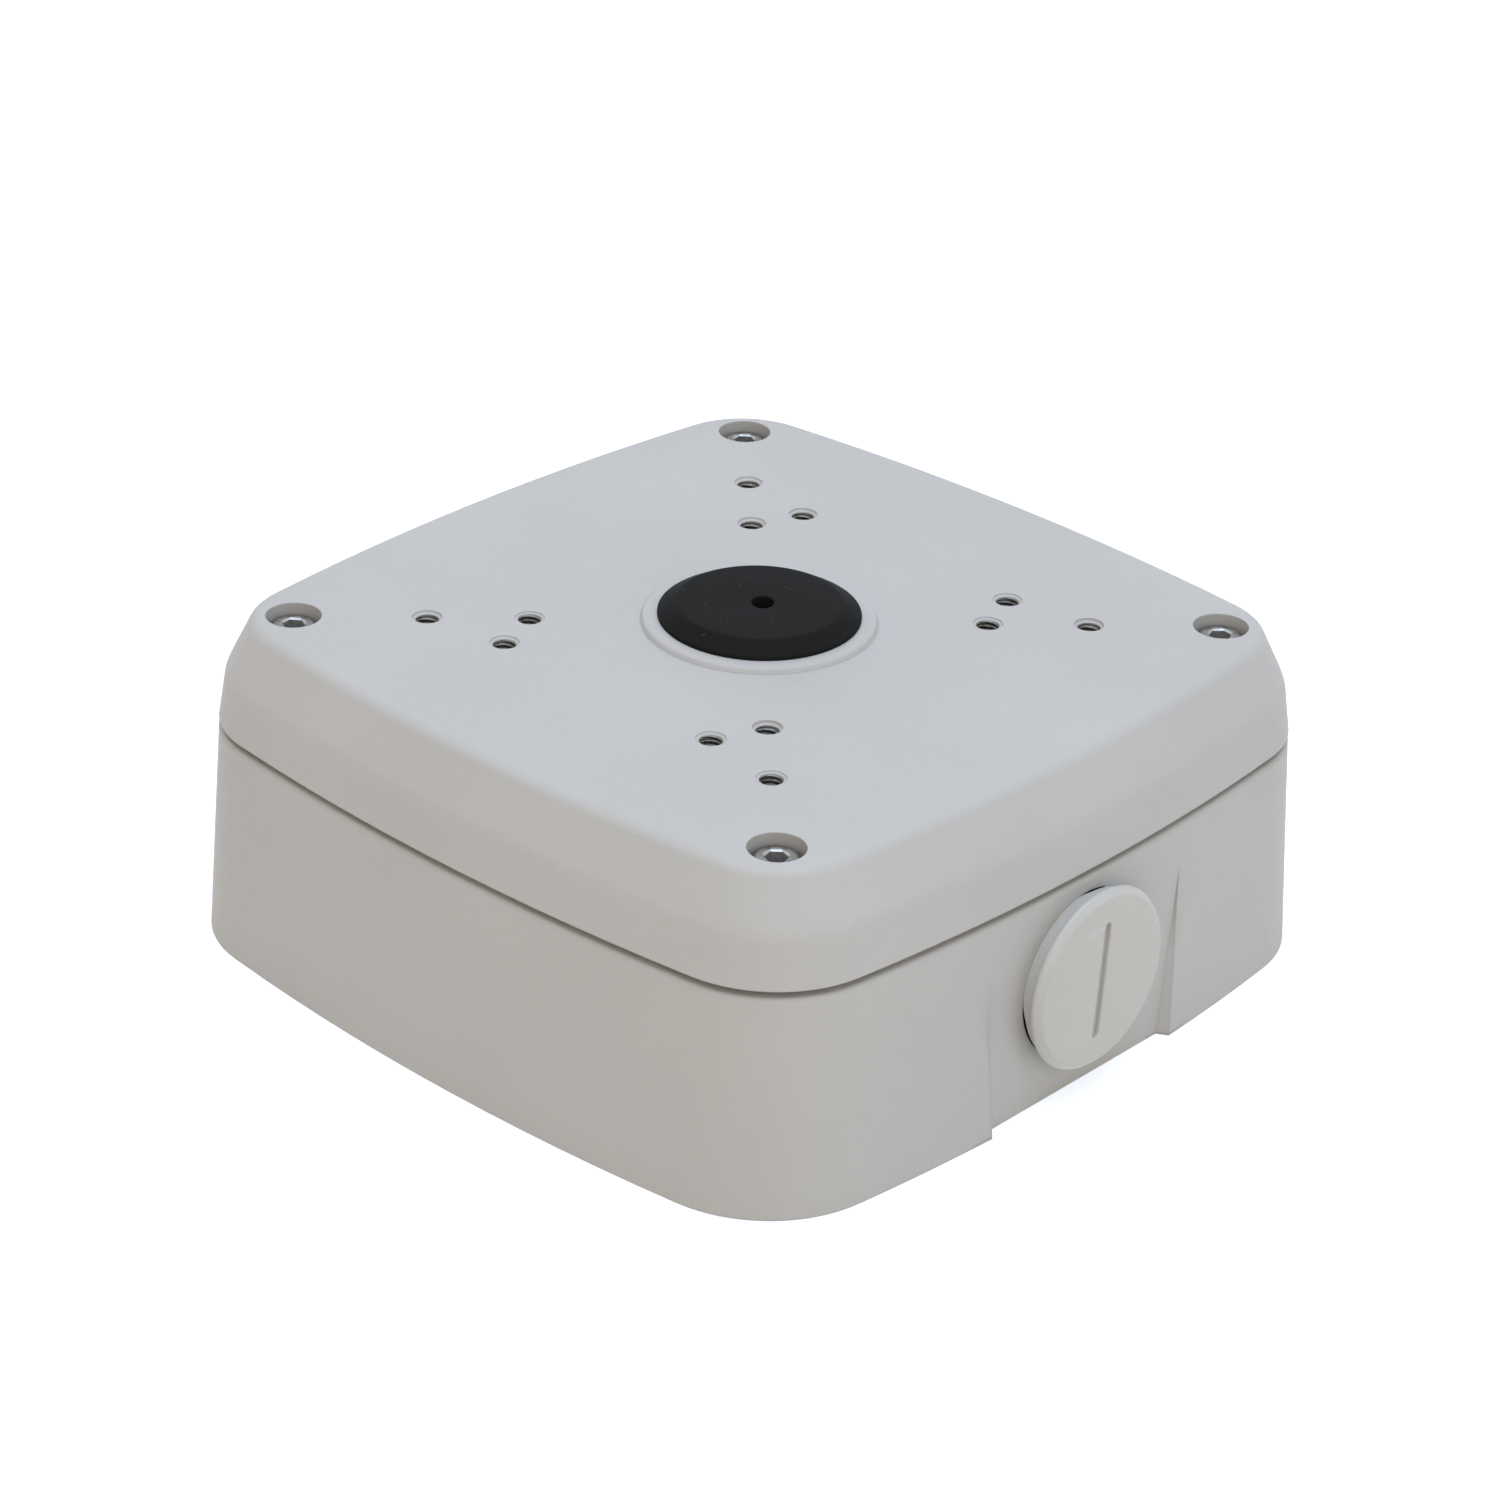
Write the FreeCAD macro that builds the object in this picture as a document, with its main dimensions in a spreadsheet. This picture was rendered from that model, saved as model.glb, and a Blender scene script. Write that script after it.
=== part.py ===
import FreeCAD, Part
import math
import os

import Sketcher

# Camera junction box: a die-cast base that screws to a wall, a cover held by four recessed screws,
# a rubber cable grommet in the cover and a slotted screw plug in the side entry.
#
# Frame: the origin is the centre of the back face that lies on the wall, +Z points out of the wall,
# and the side entry is in the wall that faces -Y.
#
# Both castings share one plan: a square with bowed sides and round corners. Every outer outline is an
# offset of it, so all side arcs share their centres, and so do all corner arcs.
# A second plan, the seam, runs along the inside of the walls and steps round the corner screws. The
# chamber, the tongue, the groove and the gasket are all offsets of the seam.

SIZES = (
    # Outer form of the two castings
    ("overall_width", "134.0"),
    ("side_arc_radius", "388.4"),
    ("corner_radius", "20.5"),
    ("base_height", "34.4"),
    ("base_draft", "3.4"),
    ("base_rim_chamfer", "0.45"),
    ("reveal_gap", "1.2"),
    ("cover_height", "16.06"),
    ("shoulder_drop", "8.41"),
    ("cover_lower_draft", "8.5"),
    ("cover_upper_draft", "26.1"),
    ("shoulder_round", "8.4"),
    ("top_round", "2.07"),
    # Walls
    ("wall_thickness", "3.4"),
    ("floor_thickness", "3.0"),
    ("cover_thickness", "3.0"),
    ("hollow_draft", "5.0"),
    # Seam between base and cover
    ("seam_corner_radius", "6.0"),
    ("seam_screw_radius", "7.0"),
    ("tongue_width", "1.2"),
    ("tongue_height", "1.8"),
    ("groove_clearance", "0.5"),
    ("groove_depth", "2.6"),
    ("groove_wall", "1.7"),
    # Cover screws, their washers and their holes
    ("screw_edge_distance", "18.13"),
    ("screw_thread_diameter", "4.0"),
    ("screw_length", "20.0"),
    ("screw_head_diameter", "7.0"),
    ("screw_head_height", "4.0"),
    ("screw_head_sink", "1.3"),
    ("hex_key_size", "3.0"),
    ("hex_key_depth", "2.0"),
    ("screw_pocket_diameter", "8.35"),
    ("screw_clearance_hole", "4.5"),
    ("thread_running_gap", "0.05"),
    ("screw_hole_spare_depth", "3.0"),
    ("landing_diameter", "9.2"),
    ("washer_outer_diameter", "8.0"),
    ("washer_inner_diameter", "4.3"),
    ("washer_thickness", "0.5"),
    # Tapped holes that carry the camera
    ("camera_circle_large", "98.66"),
    ("camera_circle_small", "68.3"),
    ("camera_rectangle_length", "64.9"),
    ("camera_rectangle_width", "41.9"),
    ("camera_thread_diameter", "4.0"),
    ("tap_depth", "6.3"),
    ("tap_mouth_diameter", "4.4"),
    ("tap_mouth_depth", "0.6"),
    ("tap_boss_radius", "4.0"),
    ("tap_boss_length", "4.6"),
    # Cable grommet and the collar round it
    ("collar_diameter", "35.4"),
    ("collar_height", "0.95"),
    ("collar_round", "0.8"),
    ("grommet_hole_diameter", "27.0"),
    ("grommet_flange_diameter", "30.5"),
    ("grommet_flange_edge", "0.6"),
    ("grommet_bevel_height", "1.6"),
    ("grommet_crown_diameter", "25.0"),
    ("grommet_lip_overlap", "1.1"),
    ("grommet_lip_height", "4.0"),
    ("grommet_lip_taper", "2.2"),
    ("grommet_wall", "2.4"),
    ("grommet_web_thickness", "2.6"),
    ("grommet_pinhole_diameter", "3.4"),
    # Side entry and its plug
    ("port_rim_distance", "15.6"),
    ("port_thread_diameter", "25.0"),
    ("port_block_width", "33.0"),
    ("port_block_depth", "13.0"),
    ("port_block_round", "4.0"),
    ("port_flat_depth", "2.25"),
    ("port_flat_width", "38.4"),
    ("port_flat_side_draft", "5.0"),
    ("port_flat_end_angle", "30.0"),
    ("plug_seal_thickness", "0.8"),
    ("plug_seal_margin", "0.5"),
    ("plug_head_diameter", "28.3"),
    ("plug_head_height", "3.55"),
    ("plug_head_chamfer", "0.7"),
    ("plug_thread_length", "10.0"),
    ("plug_wall", "2.5"),
    ("plug_slot_length", "18.2"),
    ("plug_slot_width", "1.5"),
    ("plug_slot_depth", "1.1"),
    ("plug_slot_lean", "3.6"),
    # Holes in the back
    ("cable_entry_diameter", "28.0"),
    ("wall_hole_edge_distance", "27.0"),
    ("wall_hole_diameter", "5.2"),
)

doc = FreeCAD.newDocument("junction_box")
sheet = doc.addObject("Spreadsheet::Sheet", "Sizes")
for row, (alias, text) in enumerate(SIZES, start=1):
    sheet.set("A%d" % row, alias)
    sheet.set("B%d" % row, text)
    sheet.setAlias("B%d" % row, alias)
doc.recompute()

# Levels and places that several pieces share, as expressions on the sheet
HALF_WIDTH = "Sizes.overall_width / 2"
COVER_BOTTOM = "Sizes.base_height + Sizes.reveal_gap"
COVER_SHOULDER = COVER_BOTTOM + " + Sizes.cover_height - Sizes.shoulder_drop"
COVER_TOP = COVER_BOTTOM + " + Sizes.cover_height"
COVER_CEILING = COVER_TOP + " - Sizes.cover_thickness"
COLLAR_TOP = COVER_TOP + " + Sizes.collar_height"
HEAD_SEAT = COVER_TOP + " - Sizes.screw_head_sink - Sizes.screw_head_height"
WASHER_SEAT = HEAD_SEAT + " - Sizes.washer_thickness"
SCREW_TIP = HEAD_SEAT + " - Sizes.screw_length"
SCREW_X = "Sizes.overall_width / 2 - Sizes.screw_edge_distance"
RIM_INSET = "Sizes.base_height * tan(Sizes.base_draft * 1 deg)"
LOWER_HEIGHT = "Sizes.cover_height - Sizes.shoulder_drop"
SHOULDER_INSET = RIM_INSET + " + (" + LOWER_HEIGHT + ") * tan(Sizes.cover_lower_draft * 1 deg)"
PORT_FLAT = "Sizes.overall_width / 2 - Sizes.port_flat_depth"
PORT_HEIGHT = "Sizes.base_height - Sizes.port_rim_distance"
ZERO = "0"

FULL_TURN = 360
CORNERS = ((1, 1), (-1, 1), (-1, -1), (1, -1))
START, END, CENTRE = (1, 2, 3)
ORIGIN = (-1, 1)
HORIZONTAL_AXIS, VERTICAL_AXIS = (-1, -2)
LEVEL_TOLERANCE = 1e-4
FACE_TOLERANCE = 1e-3


def number(expression):
    """The value of an expression on the sheet, in millimetres or degrees."""
    result = sheet.evalExpression(expression)
    return float(getattr(result, "Value", result))


def vector(x, y, z=0.0):
    return FreeCAD.Vector(x, y, z)


def times(sign, expression):
    """The expression with a sign of +1 or -1 in front."""
    return "%d * (%s)" % (sign, expression)


# Sketch helpers

def add_sketch(body, name, level=ZERO, role="XY_Plane"):
    """A sketch on one of the body's origin planes, moved along its normal by level."""
    sketch = body.newObject("Sketcher::SketchObject", name)
    plane = next(item for item in body.Origin.OriginFeatures if item.Role == role)
    sketch.AttachmentSupport = [(plane, "")]
    sketch.MapMode = "FlatFace"
    if level != ZERO:
        sketch.setExpression("AttachmentOffset.Base.z", level)
    return sketch


def bind(sketch, constraint, expression):
    """Add a dimension and tie it to the sheet."""
    index = sketch.addConstraint(constraint)
    sketch.setExpression("Constraints[%d]" % index, expression)


def place_point(sketch, geometry, point, x, y):
    """Hold a point of the sketch at the coordinates given by two expressions."""
    for kind, axis, expression in (("DistanceX", VERTICAL_AXIS, x), ("DistanceY", HORIZONTAL_AXIS, y)):
        value = number(expression)
        if abs(value) < LEVEL_TOLERANCE:
            sketch.addConstraint(Sketcher.Constraint("PointOnObject", geometry, point, axis))
        elif value > 0:
            bind(sketch, Sketcher.Constraint(kind, *ORIGIN, geometry, point, value), expression)
        else:
            bind(sketch, Sketcher.Constraint(kind, geometry, point, *ORIGIN, -value), times(-1, expression))


def add_circle(sketch, diameter, x=ZERO, y=ZERO):
    centre = vector(number(x), number(y))
    circle = Part.Circle(centre, vector(0, 0, 1), number(diameter) / 2)
    index = sketch.addGeometry(circle, False)
    bind(sketch, Sketcher.Constraint("Diameter", index, number(diameter)), diameter)
    place_point(sketch, index, CENTRE, x, y)


def add_four_circles(sketch, diameter, x, y):
    """A circle at the same place in each quadrant."""
    for x_sign, y_sign in CORNERS:
        add_circle(sketch, diameter, times(x_sign, x), times(y_sign, y))


def add_polygon(sketch, corners):
    """A closed outline of straight lines through corners, each a pair of expressions."""
    points = [vector(number(x), number(y)) for x, y in corners]
    count = len(points)
    lines = [sketch.addGeometry(Part.LineSegment(points[i], points[(i + 1) % count]), False)
             for i in range(count)]
    for i, line in enumerate(lines):
        sketch.addConstraint(Sketcher.Constraint("Coincident", line, END, lines[(i + 1) % count], START))
        place_point(sketch, line, START, *corners[i])


def add_arc(sketch, centre, radius, first, last, turn):
    """An arc between two angles in radians, all turned about the origin by turn."""
    place = vector(centre[0] * math.cos(turn) - centre[1] * math.sin(turn),
                   centre[0] * math.sin(turn) + centre[1] * math.cos(turn))
    circle = Part.Circle(place, vector(0, 0, 1), radius)
    return sketch.addGeometry(Part.ArcOfCircle(circle, first + turn, last + turn), False)


def add_line(sketch, start, end, turn):
    points = [vector(x * math.cos(turn) - y * math.sin(turn), x * math.sin(turn) + y * math.cos(turn))
              for x, y in (start, end)]
    return sketch.addGeometry(Part.LineSegment(*points), False)


def join_smoothly(sketch, joints):
    """Join the ends of curves so that they run on without a kink."""
    for joint in joints:
        sketch.addConstraint(Sketcher.Constraint("Tangent", *joint))


def hold_radii(sketch, arcs, radius):
    """Tie the first arc's radius to the sheet and make the others equal to it."""
    bind(sketch, Sketcher.Constraint("Radius", arcs[0], number(radius)), radius)
    for arc in arcs[1:]:
        sketch.addConstraint(Sketcher.Constraint("Equal", arcs[0], arc))


def hold_side_centres(sketch, arcs, distance):
    """The centre of each side's arc lies on the far side of the origin from that side."""
    places = ((times(-1, distance), ZERO), (ZERO, times(-1, distance)), (distance, ZERO), (ZERO, distance))
    for arc, (x, y) in zip(arcs, places):
        place_point(sketch, arc, CENTRE, x, y)


SIDE_CENTRE = "Sizes.side_arc_radius - Sizes.overall_width / 2"


def add_body_outline(sketch, inset):
    """The outer plan of the castings, moved in by inset from its widest place at the back."""
    side_radius = "Sizes.side_arc_radius - (%s)" % inset
    corner_radius = "Sizes.corner_radius - (%s)" % inset
    reach = number(SIDE_CENTRE)
    between = number(side_radius) - number(corner_radius)
    # A corner's centre lies on the diagonal, where its arc touches both side arcs
    corner = (math.sqrt(2 * between ** 2 - reach ** 2) - reach) / 2
    swing = math.atan2(corner, corner + reach)
    sides = []
    corners = []
    for step in range(4):
        turn = step * math.pi / 2
        sides.append(add_arc(sketch, (-reach, 0), number(side_radius), -swing, swing, turn))
        corners.append(add_arc(sketch, (corner, corner), number(corner_radius),
                               swing, math.pi / 2 - swing, turn))
    for step in range(4):
        join_smoothly(sketch, ((sides[step], END, corners[step], START),
                               (corners[step], END, sides[(step + 1) % 4], START)))
    hold_radii(sketch, sides, side_radius)
    hold_radii(sketch, corners, corner_radius)
    hold_side_centres(sketch, sides, SIDE_CENTRE)


def add_seam_outline(sketch, outset):
    """The seam's plan, moved out by outset from the edge of the chamber at the rim."""
    side_radius = "Sizes.side_arc_radius - %s - Sizes.wall_thickness + (%s)" % (RIM_INSET, outset)
    fillet_radius = "Sizes.seam_corner_radius + (%s)" % outset
    notch_radius = "Sizes.seam_screw_radius - (%s)" % outset
    reach = number(SIDE_CENTRE)
    screw = number(SCREW_X)
    notch = number(notch_radius)
    fillet = number(fillet_radius)
    # The fillet's centre is one radius inside the straight run and touches the side arc from inside
    near = screw - notch - fillet
    far = math.sqrt((number(side_radius) - fillet) ** 2 - near ** 2) - reach
    swing = math.atan2(near, far + reach)
    right = math.pi / 2
    sides, fillets, notches, lines = [], [], [], []
    for step in range(4):
        turn = step * right
        sides.append(add_arc(sketch, (-reach, 0), number(side_radius), -swing, swing, turn))
        fillets.append(add_arc(sketch, (far, near), fillet, swing, right, turn))
        lines.append(add_line(sketch, (far, screw - notch), (screw, screw - notch), turn))
        notches.append(add_arc(sketch, (screw, screw), notch, 2 * right, 3 * right, turn))
        lines.append(add_line(sketch, (screw - notch, screw), (screw - notch, far), turn))
        fillets.append(add_arc(sketch, (near, far), fillet, 0, right - swing, turn))
    for step in range(4):
        first, second = 2 * step, 2 * step + 1
        join_smoothly(sketch, ((sides[step], END, fillets[first], START),
                               (fillets[first], END, lines[first], START),
                               (lines[first], END, notches[step], END),
                               (notches[step], START, lines[second], START),
                               (lines[second], END, fillets[second], START),
                               (fillets[second], END, sides[(step + 1) % 4], START)))
        across, along = ("Horizontal", "Vertical") if step % 2 == 0 else ("Vertical", "Horizontal")
        sketch.addConstraint(Sketcher.Constraint(across, lines[first]))
        sketch.addConstraint(Sketcher.Constraint(along, lines[second]))
        x_sign, y_sign = CORNERS[step]
        place_point(sketch, notches[step], CENTRE, times(x_sign, SCREW_X), times(y_sign, SCREW_X))
    hold_radii(sketch, sides, side_radius)
    hold_radii(sketch, fillets, fillet_radius)
    hold_radii(sketch, notches, notch_radius)
    hold_side_centres(sketch, sides, SIDE_CENTRE)


def add_wrap(sketch, centres, radius):
    """The outline of a belt round three circles of one radius."""
    points = [(number(x), number(y)) for x, y in centres]
    (x1, y1), (x2, y2), (x3, y3) = points
    if (x2 - x1) * (y3 - y1) < (x3 - x1) * (y2 - y1):
        points.reverse()
        centres = centres[::-1]
    count = len(points)
    headings = [math.atan2(points[(i + 1) % count][1] - y, points[(i + 1) % count][0] - x)
                for i, (x, y) in enumerate(points)]
    reach = number(radius)
    arcs, lines = [], []
    for i, (x, y) in enumerate(points):
        last = headings[i] - math.pi / 2
        first = headings[i - 1] - math.pi / 2
        turn = (last - first) % (2 * math.pi)
        arcs.append(add_arc(sketch, (x, y), reach, first, first + turn, 0))
        across = (reach * math.cos(last), reach * math.sin(last))
        far = points[(i + 1) % count]
        lines.append(add_line(sketch, (x + across[0], y + across[1]),
                              (far[0] + across[0], far[1] + across[1]), 0))
    for i in range(count):
        join_smoothly(sketch, ((arcs[i], END, lines[i], START),
                               (lines[i], END, arcs[(i + 1) % count], START)))
    hold_radii(sketch, arcs, radius)
    for arc, (x, y) in zip(arcs, centres):
        place_point(sketch, arc, CENTRE, x, y)


# Feature helpers

def add_body(label):
    body = doc.addObject("PartDesign::Body", label)
    body.Label = label
    return body


def extrude(kind, body, name, sketch, length, reverse=False):
    """A Pad or a Pocket of a stated length."""
    feature = body.newObject("PartDesign::" + kind, name)
    feature.Profile = sketch
    feature.Reversed = reverse
    feature.setExpression("Length", length)
    return feature


def draft_walls(body, name, feature, neutral, levels, angle, downward=False):
    """Lean the walls that run between two levels, turning them about the neutral sketch's plane."""
    low, high = (number(level) for level in levels)
    draft = body.newObject("PartDesign::Draft", name)
    draft.Base = (feature, walls_between(feature, low, high))
    draft.NeutralPlane = (neutral, [""])
    draft.Reversed = downward
    draft.setExpression("Angle", angle)
    return draft


def revolve(body, name, sketch):
    feature = body.newObject("PartDesign::Revolution", name)
    feature.Profile = sketch
    feature.ReferenceAxis = (sketch, ["V_Axis"])
    feature.Angle = FULL_TURN
    return feature


def drill(body, name, sketch, diameter, depth, cut_diameter, cut_depth):
    """Stepped holes: a wide mouth and a narrower hole below it, through all if depth is None."""
    doc.recompute()
    feature = body.newObject("PartDesign::Hole", name)
    feature.Profile = sketch
    feature.ThreadType = "None"
    feature.HoleCutType = "Counterbore"
    feature.setExpression("Diameter", diameter)
    feature.setExpression("HoleCutDiameter", cut_diameter)
    feature.setExpression("HoleCutDepth", cut_depth)
    if depth is None:
        feature.DepthType = "ThroughAll"
    else:
        feature.DepthType = "Dimension"
        feature.setExpression("Depth", depth)
        feature.DrillPoint = "Flat"
    return feature


def walls_between(feature, low, high):
    """The names of the feature's faces that reach from one level exactly to the other."""
    doc.recompute()
    boxes = [face.BoundBox for face in feature.Shape.Faces]
    return ["Face%d" % (i + 1) for i, box in enumerate(boxes)
            if abs(box.ZMin - low) < FACE_TOLERANCE and abs(box.ZMax - high) < FACE_TOLERANCE]


def edges_where(feature, test):
    """The names of the feature's edges for which test is true."""
    doc.recompute()
    return ["Edge%d" % (i + 1) for i, edge in enumerate(feature.Shape.Edges) if test(edge)]


def lies_at(edge, level):
    """Whether the edge lies in the horizontal plane at the level."""
    box = edge.BoundBox
    return abs(box.ZMin - level) < LEVEL_TOLERANCE and abs(box.ZMax - level) < LEVEL_TOLERANCE


def round_edges(body, name, feature, test, radius):
    fillet = body.newObject("PartDesign::Fillet", name)
    fillet.Base = (feature, edges_where(feature, test))
    fillet.setExpression("Radius", radius)
    return fillet


# Base housing

def make_base_housing():
    body = add_body("base_housing")

    back = add_sketch(body, "base_back_outline")
    add_body_outline(back, ZERO)
    block = extrude("Pad", body, "base_block", back, "Sizes.base_height")
    leaning = draft_walls(body, "base_walls", block, back, (ZERO, "Sizes.base_height"), "Sizes.base_draft")
    rim = body.newObject("PartDesign::Chamfer", "base_rim_edge")
    rim.Base = (leaning, edges_where(leaning, lambda edge: lies_at(edge, number("Sizes.base_height"))))
    rim.setExpression("Size", "Sizes.base_rim_chamfer")

    mouth = add_sketch(body, "chamber_mouth", "Sizes.base_height")
    add_seam_outline(mouth, ZERO)
    extrude("Pocket", body, "chamber", mouth, "Sizes.base_height - Sizes.floor_thickness")

    tongue = add_sketch(body, "tongue_outline", "Sizes.base_height")
    add_seam_outline(tongue, "Sizes.tongue_width")
    add_seam_outline(tongue, ZERO)
    extrude("Pad", body, "tongue", tongue, "Sizes.tongue_height")

    landings = add_sketch(body, "screw_landing_circles", "Sizes.base_height")
    add_four_circles(landings, "Sizes.landing_diameter", SCREW_X, SCREW_X)
    extrude("Pad", body, "screw_landings", landings, "Sizes.reveal_gap")

    add_side_port(body)
    add_back_holes(body)

    holes = add_sketch(body, "screw_hole_circles", COVER_BOTTOM)
    add_four_circles(holes, "Sizes.screw_thread_diameter + 2 * Sizes.thread_running_gap", SCREW_X, SCREW_X)
    depth = "(%s) - (%s) + Sizes.screw_hole_spare_depth" % (COVER_BOTTOM, SCREW_TIP)
    extrude("Pocket", body, "screw_holes", holes, depth)
    return body


def add_side_port(body):
    """The threaded block inside the -Y wall, the flat seat outside it and the bore through both."""
    half = "Sizes.port_block_width / 2"
    inner = PORT_FLAT + " - Sizes.port_block_depth"
    outer = PORT_FLAT + " - Sizes.wall_thickness / 2"
    block = add_sketch(body, "port_block_outline", "Sizes.floor_thickness / 2")
    add_polygon(block, ((times(-1, half), times(-1, inner)), (times(-1, half), times(-1, outer)),
                        (half, times(-1, outer)), (half, times(-1, inner))))
    pad = extrude("Pad", body, "port_block", block, "Sizes.base_height - Sizes.floor_thickness / 2")
    face = -number(inner)
    side = number(half)
    round_edges(body, "port_block_corners", pad,
                lambda edge: is_upright(edge, side, face), "Sizes.port_block_round")

    flat = add_sketch(body, "port_flat_outline", PORT_FLAT, "XZ_Plane")
    low = times(-1, "Sizes.port_flat_depth")
    high = "Sizes.base_height + Sizes.port_flat_depth"
    narrow, wide = ("Sizes.port_flat_width / 2 + (%s) * tan(Sizes.port_flat_side_draft * 1 deg)" % level
                    for level in (low, high))
    add_polygon(flat, ((times(-1, narrow), low), (narrow, low), (wide, high), (times(-1, wide), high)))
    cut = extrude("Pocket", body, "port_flat", flat, "2 * Sizes.port_flat_depth", reverse=True)
    cut.setExpression("TaperAngle", "Sizes.port_flat_end_angle")

    bore = add_sketch(body, "port_bore_circle", PORT_FLAT, "XZ_Plane")
    add_circle(bore, "Sizes.port_thread_diameter + 2 * Sizes.thread_running_gap", ZERO, PORT_HEIGHT)
    extrude("Pocket", body, "port_bore", bore, "Sizes.port_block_depth")


def is_upright(edge, side, face):
    """Whether the edge is an upright corner of the port block, at x = +-side and y = face."""
    box = edge.BoundBox
    upright = max(box.XLength, box.YLength) < LEVEL_TOLERANCE
    return upright and abs(abs(box.XMin) - side) < LEVEL_TOLERANCE and abs(box.YMin - face) < LEVEL_TOLERANCE


def add_back_holes(body):
    """The cable entry and the four wall screw holes, through the floor."""
    place = HALF_WIDTH + " - Sizes.wall_hole_edge_distance"
    holes = add_sketch(body, "back_hole_circles")
    add_circle(holes, "Sizes.cable_entry_diameter")
    add_four_circles(holes, "Sizes.wall_hole_diameter", place, place)
    extrude("Pocket", body, "back_holes", holes, "Sizes.floor_thickness", reverse=True)


# Cover

def make_cover():
    body = add_body("cover")

    lower = add_sketch(body, "cover_lower_outline", COVER_BOTTOM)
    add_body_outline(lower, RIM_INSET)
    skirt = extrude("Pad", body, "cover_skirt", lower, LOWER_HEIGHT)
    draft_walls(body, "cover_skirt_walls", skirt, lower, (COVER_BOTTOM, COVER_SHOULDER),
                "Sizes.cover_lower_draft")
    shoulder = add_sketch(body, "cover_shoulder_outline", COVER_SHOULDER)
    add_body_outline(shoulder, SHOULDER_INSET)
    crown = extrude("Pad", body, "cover_crown", shoulder, "Sizes.shoulder_drop")
    leaning = draft_walls(body, "cover_crown_walls", crown, shoulder, (COVER_SHOULDER, COVER_TOP),
                          "Sizes.cover_upper_draft")
    soft = round_edges(body, "cover_shoulder_edge", leaning,
                       lambda edge: lies_at(edge, number(COVER_SHOULDER)), "Sizes.shoulder_round")
    round_edges(body, "cover_top_edge", soft,
                lambda edge: lies_at(edge, number(COVER_TOP)), "Sizes.top_round")

    inward = "Sizes.groove_clearance + Sizes.groove_wall"
    mouth = add_sketch(body, "cover_hollow_mouth", COVER_BOTTOM)
    add_seam_outline(mouth, times(-1, inward))
    hollow = extrude("Pocket", body, "cover_hollow", mouth,
                     "Sizes.cover_height - Sizes.cover_thickness", reverse=True)
    draft_walls(body, "cover_hollow_walls", hollow, mouth, (COVER_BOTTOM, COVER_CEILING),
                "Sizes.hollow_draft", downward=True)

    groove = add_sketch(body, "groove_outline", COVER_BOTTOM)
    add_seam_outline(groove, "Sizes.tongue_width + Sizes.groove_clearance")
    add_seam_outline(groove, times(-1, "Sizes.groove_clearance"))
    extrude("Pocket", body, "groove", groove, "Sizes.groove_depth", reverse=True)

    add_collar(body)
    add_camera_holes(body)

    pockets = add_sketch(body, "screw_pocket_circles", COVER_TOP)
    add_four_circles(pockets, "Sizes.screw_pocket_diameter", SCREW_X, SCREW_X)
    drill(body, "screw_pockets", pockets, "Sizes.screw_clearance_hole", None,
          "Sizes.screw_pocket_diameter", "(%s) - (%s)" % (COVER_TOP, WASHER_SEAT))
    return body


def add_collar(body):
    """The raised ring round the grommet and the hole that the grommet snaps into."""
    foot = COVER_TOP + " - Sizes.cover_thickness / 2"
    radius = "Sizes.collar_diameter / 2"
    soft = "Sizes.collar_round"
    # The soft outer edge is two chords of its arc
    short = soft + " * (1 - cos(45 deg))"
    section = add_sketch(body, "collar_section", ZERO, "XZ_Plane")
    add_polygon(section, ((ZERO, foot), (radius, foot), (radius, COLLAR_TOP + " - " + soft),
                          (radius + " - " + short, COLLAR_TOP + " - " + short),
                          (radius + " - " + soft, COLLAR_TOP), (ZERO, COLLAR_TOP)))
    revolve(body, "collar", section)
    hole = add_sketch(body, "grommet_hole_circle", COLLAR_TOP)
    add_circle(hole, "Sizes.grommet_hole_diameter")
    extrude("Pocket", body, "grommet_hole", hole, "Sizes.collar_height + Sizes.cover_thickness")


def add_camera_holes(body):
    """Three patterns of blind tapped holes. One boss under the skin carries the three of each quadrant."""
    places = (("Sizes.camera_circle_large * sqrt(2) / 4", "Sizes.camera_circle_large * sqrt(2) / 4"),
              ("Sizes.camera_circle_small * sqrt(2) / 4", "Sizes.camera_circle_small * sqrt(2) / 4"),
              ("Sizes.camera_rectangle_length / 2", "Sizes.camera_rectangle_width / 2"))
    bosses = add_sketch(body, "tap_boss_outlines", COVER_CEILING)
    for x_sign, y_sign in CORNERS:
        centres = [(times(x_sign, x), times(y_sign, y)) for x, y in places]
        add_wrap(bosses, centres, "Sizes.tap_boss_radius")
    extrude("Pad", body, "tap_bosses", bosses, "Sizes.tap_boss_length", reverse=True)
    for index, (x, y) in enumerate(places, start=1):
        holes = add_sketch(body, "tap_circles_%d" % index, COVER_TOP)
        add_four_circles(holes, "Sizes.tap_mouth_diameter", x, y)
        drill(body, "tap_holes_%d" % index, holes, "Sizes.camera_thread_diameter", "Sizes.tap_depth",
              "Sizes.tap_mouth_diameter", "Sizes.tap_mouth_depth")


# Soft pieces of the cover

def make_cover_gasket():
    """The seal fills the groove down to the tongue, which presses on it."""
    body = add_body("cover_gasket")
    ring = add_sketch(body, "gasket_outline", "Sizes.base_height + Sizes.tongue_height")
    add_seam_outline(ring, "Sizes.tongue_width + Sizes.groove_clearance")
    add_seam_outline(ring, times(-1, "Sizes.groove_clearance"))
    extrude("Pad", body, "gasket", ring, "Sizes.reveal_gap + Sizes.groove_depth - Sizes.tongue_height")
    return body


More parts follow.
